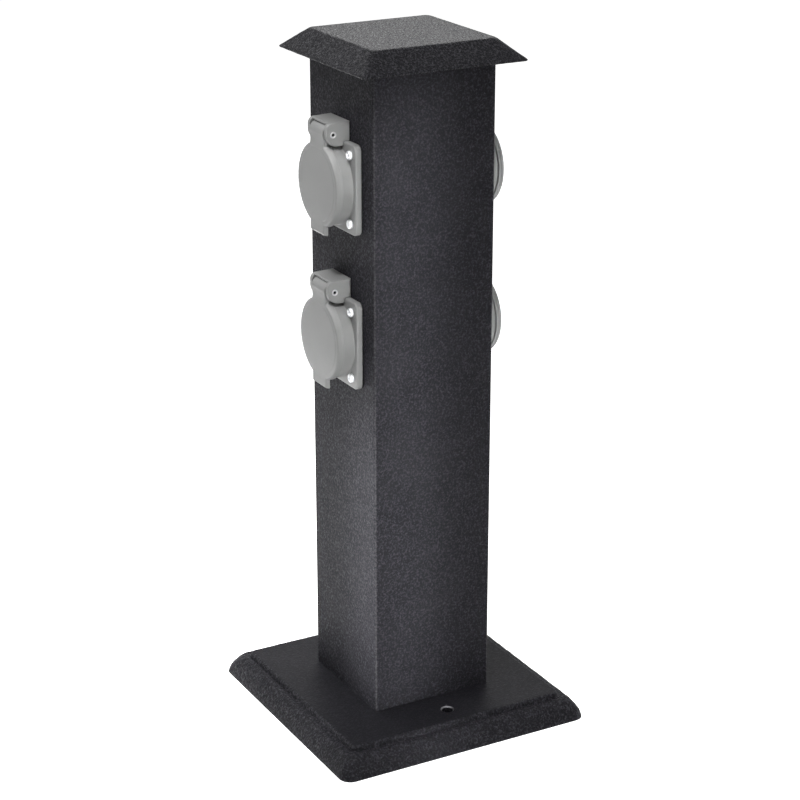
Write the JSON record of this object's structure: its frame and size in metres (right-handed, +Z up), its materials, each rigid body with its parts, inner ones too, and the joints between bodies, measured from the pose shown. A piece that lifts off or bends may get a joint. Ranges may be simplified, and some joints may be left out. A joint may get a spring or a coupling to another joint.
{
  "type": "garden socket post",
  "caption": "Outdoor power post: a square coated tube on a moulded cast base with a sloped cap, carrying earthed panel sockets with sprung hinged lids on opposite faces.",
  "frame": {"origin": "centre of the base's underside, on the ground", "axes": "+Z up along the post; the sockets face -Y (front, the picture's left face) and +Y (rear); the fixing holes lie along X"},
  "size_m": [0.16, 0.16, 0.4],
  "materials": {
    "black_coat": "matte",
    "grey_plastic": "satin",
    "carrier_plastic": "matte",
    "ivory_plastic": "satin",
    "black_plastic": "matte",
    "black_rubber": "matte",
    "zinc_steel": "satin",
    "spring_steel": "satin",
    "brass": "satin",
    "copper": "satin",
    "brown_wire": "satin",
    "blue_wire": "satin",
    "green_yellow_wire": "satin"
  },
  "bodies": {
    "post": {"base_plate": "black_coat", "post_tube": "black_coat", "cap": "black_coat", "cap_gasket": "black_rubber", "tie_rods": "zinc_steel", "tie_rod_nuts": "zinc_steel", "tie_rod_washers": "zinc_steel", "gland_body": "black_plastic", "gland_seal": "black_rubber", "gland_dome_nut": "black_plastic", "gland_lock_nut": "black_plastic", "terminal_bracket": "zinc_steel", "bracket_screws": "zinc_steel", "terminal_block": "ivory_plastic", "terminal_bars": "brass", "terminal_screws": "zinc_steel", "earth_screw": "zinc_steel", "earth_lug": "copper", "earth_link_wire": "green_yellow_wire", "line_wires": "brown_wire", "neutral_wires": "blue_wire", "earth_wires": "green_yellow_wire", "flange_screws": "zinc_steel", "contact_terminal_screws": "zinc_steel", "front_upper_housing": "grey_plastic", "front_upper_flange_gasket": "black_rubber", "front_upper_hinge_pin": "zinc_steel", "front_upper_lid_spring": "spring_steel", "front_upper_contact_carrier": "carrier_plastic", "front_upper_live_contacts": "brass", "front_upper_earth_clip": "brass", "front_lower_housing": "grey_plastic", "front_lower_flange_gasket": "black_rubber", "front_lower_hinge_pin": "zinc_steel", "front_lower_lid_spring": "spring_steel", "front_lower_contact_carrier": "carrier_plastic", "front_lower_live_contacts": "brass", "front_lower_earth_clip": "brass", "rear_upper_housing": "grey_plastic", "rear_upper_flange_gasket": "black_rubber", "rear_upper_hinge_pin": "zinc_steel", "rear_upper_lid_spring": "spring_steel", "rear_upper_contact_carrier": "carrier_plastic", "rear_upper_live_contacts": "brass", "rear_upper_earth_clip": "brass", "rear_lower_housing": "grey_plastic", "rear_lower_flange_gasket": "black_rubber", "rear_lower_hinge_pin": "zinc_steel", "rear_lower_lid_spring": "spring_steel", "rear_lower_contact_carrier": "carrier_plastic", "rear_lower_live_contacts": "brass", "rear_lower_earth_clip": "brass"},
    "front_upper_lid_body": {"front_upper_lid": "grey_plastic", "front_upper_lid_seal": "black_rubber"},
    "front_lower_lid_body": {"front_lower_lid": "grey_plastic", "front_lower_lid_seal": "black_rubber"},
    "rear_upper_lid_body": {"rear_upper_lid": "grey_plastic", "rear_upper_lid_seal": "black_rubber"},
    "rear_lower_lid_body": {"rear_lower_lid": "grey_plastic", "rear_lower_lid_seal": "black_rubber"}
  },
  "joints": [
    {"name": "front_upper_lid_hinge", "type": "hinge", "parent": "post", "child": "front_upper_lid_body", "pos_m": [0, -0.0478, 0.351], "axis": [-1, 0, 0], "range_deg": [0, 100], "stiffness_Nm_per_rad": 0.02, "springref_deg": -57.3, "deforming": ["front_upper_lid_spring"]},
    {"name": "front_lower_lid_hinge", "type": "hinge", "parent": "post", "child": "front_lower_lid_body", "pos_m": [0, -0.0478, 0.263], "axis": [-1, 0, 0], "range_deg": [0, 100], "stiffness_Nm_per_rad": 0.02, "springref_deg": -57.3, "deforming": ["front_lower_lid_spring"]},
    {"name": "rear_upper_lid_hinge", "type": "hinge", "parent": "post", "child": "rear_upper_lid_body", "pos_m": [0, 0.0478, 0.351], "axis": [1, 0, 0], "range_deg": [0, 100], "stiffness_Nm_per_rad": 0.02, "springref_deg": -57.3, "deforming": ["rear_upper_lid_spring"]},
    {"name": "rear_lower_lid_hinge", "type": "hinge", "parent": "post", "child": "rear_lower_lid_body", "pos_m": [0, 0.0478, 0.263], "axis": [1, 0, 0], "range_deg": [0, 100], "stiffness_Nm_per_rad": 0.02, "springref_deg": -57.3, "deforming": ["rear_lower_lid_spring"]}
  ]
}
